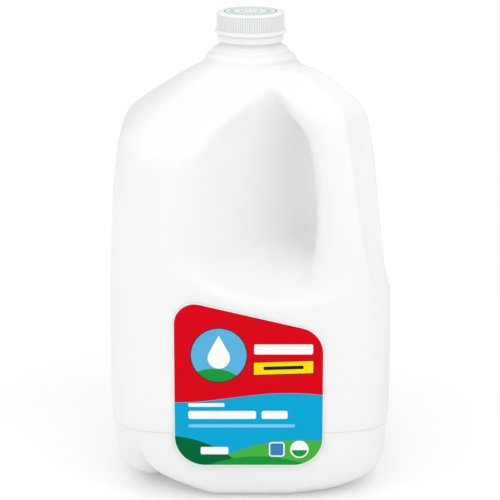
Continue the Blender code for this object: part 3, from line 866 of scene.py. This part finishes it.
cap_finish = Recipe("white_polypropylene")
ribs = add_object("grip_ribs_helper", bpy.data.meshes.new("grip_ribs_helper"))
modifier = ribs.modifiers.new("Ribs", "NODES")
modifier.node_group = rib_tree(cap_finish.material)
RIB_INPUTS = {"Ribs": CAP_RIBS, "Radius": (CAP_ROOT_RADIUS - 0.02) * MM,
              "Rib length": (RIB_TOP_Z - RIB_BOTTOM_Z - 0.1) * MM, "Rib radius": 0.42 * MM,
              "Foot height": (RIB_BOTTOM_Z + 0.05) * MM}
for item in modifier.node_group.interface.items_tree:
    if item.name in RIB_INPUTS:
        modifier[item.identifier] = RIB_INPUTS[item.name]
grip_ribs = settled(ribs, "cap_grip_ribs")
grip_ribs.data.shade_smooth()
grip_ribs.data.set_sharp_from_angle(angle=math.radians(50))
print("ribs:", CAP_RIBS - 2, "with", len(grip_ribs.data.polygons), "faces")

# %% [markdown]
# ## Finish of the cap
#
# The cap is a harder, slightly glossier plastic than the bottle. Its top carries a small print: a thin dark
# ring and, inside it, a pale band and two rings of short marks, drawn by distance from the axis.

# %% White polypropylene with a printed top
across, deep, height = (cap_finish.along(*axis) for axis in ((1, 0, 0), (0, 1, 0), (0, 0, 1)))
radius = cap_finish.length(across, deep)
turn = cap_finish.sum("ARCTAN2", deep, across)


def ring(middle, half):
    """1 on a ring round the axis, given by its middle radius and half its width."""
    return cap_finish.inside(cap_finish.stripe(radius, middle, half))


def marks(count, share):
    """Evenly spaced marks round the axis, each taking a share of its space."""
    wave = cap_finish.sum("COSINE", cap_finish.sum("MULTIPLY", turn, count))
    return cap_finish.inside(cap_finish.sum("SUBTRACT", math.cos(math.pi * share), wave), 0.15)


mould_noise = cap_finish.noise(260.0, 3.0)
cap_white = cap_finish.layer(colour(240, 240, 240), colour(246, 246, 246), cap_finish.noise(60.0))
# Between the ribs the skirt is painted darker: painted shade where little light gets in.
below_rim = cap_finish.inside(cap_finish.sum("SUBTRACT", height, RIB_TOP_Z), 0.3)
above_flange = cap_finish.inside(cap_finish.sum("SUBTRACT", RIB_BOTTOM_Z + 0.2, height), 0.2)
between = cap_finish.inside(cap_finish.sum("SUBTRACT", radius, CAP_ROOT_RADIUS + 0.2), 0.16)
between = cap_finish.sum("MULTIPLY", between, cap_finish.sum("MULTIPLY", below_rim, above_flange))
skirt_with_painted_shade = cap_finish.layer(cap_white, colour(222, 223, 223), between)
# The print, on the cap's top alone.
teal = colour(126, 176, 180)
printed = cap_finish.layer(cap_white, colour(226, 238, 237), ring(10.6, 1.9))
for middle, half, count, share in ((10.6, 1.1, 30, 0.5), (5.0, 0.7, 12, 0.6)):
    printed = cap_finish.layer(printed, teal,
                               cap_finish.sum("MULTIPLY", ring(middle, half), marks(count, share)))
printed = cap_finish.layer(printed, colour(52, 70, 78), ring(14.2, 0.28))
on_top = cap_finish.inside(cap_finish.sum("SUBTRACT", CAP_TOP_Z - 0.4, height))
plug(cap_finish.shader, {
    "Base Color": cap_finish.layer(skirt_with_painted_shade, printed, on_top),
    "Roughness": cap_finish.spread(mould_noise, 0.28, 0.4),
    "Subsurface Weight": 0.12, "Subsurface Scale": 0.002})
cap_finish.bump(mould_noise, depth=0.03, strength=0.6)
cap.data.materials.append(cap_finish.material)
for piece in (cap, grip_ribs):
    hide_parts("cap")
    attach(piece, "root")
print("cap finish:", len(cap_finish.tree.nodes), "nodes")

# %% [markdown]
# ## The label
#
# The label is a die-cut film with rounded corners and a top that slants down to the right. It is cut as one
# thin sheet with a softened edge and a narrow unprinted border. A flat outline that is raised and bevelled
# is the simplest way, because the front face under it is flat.

# %% Cut the label
LABEL_LEFT = -41.5
LABEL_RIGHT = 39.5
LABEL_BOTTOM = 22.5
LABEL_TOP_LEFT = 117.6
LABEL_TOP_RIGHT = 98.4
LABEL_RADII = (17.0, 16.0, 15.0, 11.5)                 # lower left, lower right, upper right, upper left
LABEL_BORDER = 0.55
LABEL_GAP = 0.3                # between the face and the label's back
LABEL_BACK = HALF_WIDTH + LABEL_GAP
LABEL_THICKNESS = 0.4


def label_outline(inset, steps=14):
    """The rounded outline, moved inwards by an inset, as points across and up the front face."""
    slant = Vector((LABEL_RIGHT - LABEL_LEFT, LABEL_TOP_RIGHT - LABEL_TOP_LEFT)).normalized()
    drop = inset / slant.x
    rise = slant.y / slant.x
    left, right, low = LABEL_LEFT + inset, LABEL_RIGHT - inset, LABEL_BOTTOM + inset
    corners = ((left, low), (right, low), (right, LABEL_TOP_RIGHT - rise * inset - drop),
               (left, LABEL_TOP_LEFT + rise * inset - drop))
    points = []
    for i, radius in enumerate(LABEL_RADII):
        radius = radius - inset
        here = Vector(corners[i])
        back = (Vector(corners[i - 1]) - here).normalized()
        ahead = (Vector(corners[(i + 1) % 4]) - here).normalized()
        half = back.angle(ahead) / 2
        centre = here + (back + ahead).normalized() * radius / math.sin(half)
        start = here + back * radius / math.tan(half) - centre
        for k in range(steps + 1):
            points.append(centre + Matrix.Rotation((math.pi - 2 * half) * k / steps, 2) @ start)
    return points


def cut_label():
    """The film as a closed sheet: a softened edge, the unprinted border and the field of print."""
    bm = bmesh.new()
    rings = []
    for inset, out in ((0.0, 0.0), (0.0, LABEL_THICKNESS - 0.12), (0.04, LABEL_THICKNESS - 0.04),
                       (0.12, LABEL_THICKNESS), (LABEL_BORDER, LABEL_THICKNESS)):
        ring_points = []
        for point in label_outline(inset):
            place = VIEW_ACROSS * point.x + Vector((0, 0, point.y)) + VIEW_SIDE * (LABEL_BACK + out)
            ring_points.append(bm.verts.new(place * MM))
        rings.append(ring_points)
    for low, high in zip(rings, rings[1:]):
        for k in range(len(low)):
            bm.faces.new((low[k - 1], low[k], high[k], high[k - 1]))
    front = bm.faces.new(rings[-1])
    bm.faces.new(list(reversed(rings[0])))
    front.material_index = 1
    bmesh.ops.recalc_face_normals(bm, faces=bm.faces)
    mesh = bpy.data.meshes.new("label_film")
    bm.to_mesh(mesh)
    bm.free()
    return mesh


label = add_object("label_film", cut_label())
print("label:", LABEL_RIGHT - LABEL_LEFT, "mm wide and", round(LABEL_TOP_LEFT - LABEL_BOTTOM, 1), "mm high")

# %% [markdown]
# ## The label's print
#
# The print is fields of colour and simple shapes: a red field, a blue band, green hills, a disc with a drop
# of milk, a blank ribbon, plain bars and blank badges. Each shape is a distance across and up the label, so
# it stays crisp. The shapes are laid over each other in order, and a fine grain in the ink keeps the film
# dull.

# %% Shapes measured across and up the label
film = Recipe("printed_film")
ROUND_U, ROUND_V, ROUND_RADIUS = -17.0, 85.5, 14.9     # the disc that holds the drop
DROP_V, DROP_RADIUS = 84.0, 6.0
u = film.along(*VIEW_ACROSS)
v = film.along(0, 0, 1)


def disc(du, dv, radius):
    """Distance outside a disc around (du, dv)."""
    return film.sum("SUBTRACT", film.length(film.sum("SUBTRACT", u, du), film.sum("SUBTRACT", v, dv)), radius)


def bar(left, right, low, high, radius, slope=0.0):
    """Distance outside a rounded bar; the slope tilts it."""
    mu, mv = (left + right) / 2, (low + high) / 2
    rise = film.sum("MULTIPLY", film.sum("SUBTRACT", u, mu), slope)
    a = film.stripe(u, mu, (right - left) / 2 - radius)
    b = film.stripe(film.sum("SUBTRACT", film.sum("SUBTRACT", v, mv), rise), 0.0, (high - low) / 2 - radius)
    corner = film.length(film.sum("MAXIMUM", a, 0.0), film.sum("MAXIMUM", b, 0.0))
    edge = film.sum("MINIMUM", film.sum("MAXIMUM", a, b), 0.0)
    return film.sum("SUBTRACT", film.sum("ADD", corner, edge), radius)


def band():
    """Distance above the blue band, whose upper edge is a long, low wave."""
    wave = film.sum("MULTIPLY", film.sum("SINE", film.sum("MULTIPLY_ADD", u, 0.052, 0.5)), 2.6)
    return film.sum("SUBTRACT", v, film.sum("ADD", wave, 61.5))


def drop():
    """Distance outside a drop of milk: a disc, and straight sides that meet above it."""
    aside = film.sum("MULTIPLY", film.stripe(u, ROUND_U), 0.88)
    above = film.sum("MULTIPLY", film.sum("SUBTRACT", v, DROP_V), 0.475)
    sides = film.sum("SUBTRACT", film.sum("ADD", aside, above), DROP_RADIUS)
    top = film.sum("MAXIMUM", sides, film.sum("SUBTRACT", DROP_V + 2.8, v))
    return film.sum("MINIMUM", disc(ROUND_U, DROP_V, DROP_RADIUS), top)


print("label shapes are ready; the drop is", 2 * DROP_RADIUS, "mm wide")

# %% Print the label
RED = colour(217, 4, 24)
BLUE = colour(8, 166, 214)
LIGHT_GREEN = colour(72, 178, 64)
MID_GREEN = colour(24, 152, 60)
DARK_GREEN = colour(0, 104, 56)
YELLOW = colour(252, 222, 8)
PALE_BLUE = colour(92, 178, 222)
PAPER = colour(250, 250, 248)
BLACK = colour(24, 26, 28)
BADGE_U, BADGE_V = 26.5, 32.0
TILT = 0.03                    # of the yellow bar

PRINT = (
    (BLUE, band()),
    # Three hills overlap along the bottom.
    (LIGHT_GREEN, disc(27.0, -58.0, 95.5)),
    (DARK_GREEN, disc(-47.0, -20.0, 60.0)),
    (MID_GREEN, disc(4.0, -48.0, 76.0)),
    # A disc with a drop of milk over a hill, on the left of the red field.
    (BLACK, disc(ROUND_U, ROUND_V, ROUND_RADIUS + 0.5)),
    (PALE_BLUE, disc(ROUND_U, ROUND_V, ROUND_RADIUS)),
    (MID_GREEN, film.sum("MAXIMUM", disc(ROUND_U, ROUND_V, ROUND_RADIUS), disc(-20.0, 56.0, 22.0))),
    (PAPER, drop()),
    # A blank ribbon and plain bars.
    (PAPER, bar(2.0, 33.5, 86.0, 91.6, 0.9)),
    (BLACK, bar(1.4, 34.1, 74.6, 82.2, 0.4, TILT)),
    (YELLOW, bar(1.8, 33.7, 75.0, 81.8, 0.3, TILT)),
    (BLACK, bar(7.0, 28.5, 77.5, 79.4, 0.6, TILT)),
    (PAPER, bar(-33.5, 3.0, 49.5, 54.0, 1.0)),
    (PAPER, bar(-33.5, -14.0, 56.4, 58.4, 0.7)),
    (PAPER, bar(6.0, 20.0, 49.5, 54.0, 1.0)),
    (colour(126, 206, 236), bar(-33.5, 24.0, 44.6, 46.4, 0.5)),
    # Blank badges, and a last bar beside them.
    (PAPER, disc(BADGE_U, BADGE_V, 5.0)),
    (MID_GREEN, film.sum("MAXIMUM", disc(BADGE_U, BADGE_V, 4.2), film.sum("SUBTRACT", v, BADGE_V - 0.4))),
    (PAPER, bar(10.0, 18.5, 27.8, 36.2, 1.6)),
    (colour(60, 130, 190), bar(10.7, 17.8, 28.5, 35.5, 1.1)),
    (PAPER, bar(-27.0, -12.0, 29.2, 33.4, 0.8)),
)
ground = RED
for ink, distance in PRINT:
    ground = film.layer(ground, ink, film.inside(distance))
ink_grain = film.noise(900.0)
ground = film.layer(ground, BLACK, film.sum("MULTIPLY", ink_grain, 0.05))
plug(film.shader, {"Base Color": ground, "Roughness": film.spread(ink_grain, 0.3, 0.42),
                   "Specular IOR Level": 0.03})
film.bump(film.noise(45.0, 1.0), depth=0.3, strength=0.3)

edge_film = Recipe("bare_film_edge")
edge_white = edge_film.layer(colour(240, 238, 238), colour(250, 250, 250), edge_film.noise(300.0))
plug(edge_film.shader, {"Base Color": edge_white, "Roughness": 0.35})
label.data.materials.append(edge_film.material)
label.data.materials.append(film.material)
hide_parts("front_label")
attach(label, "root")
print("print:", len(film.tree.nodes), "nodes")
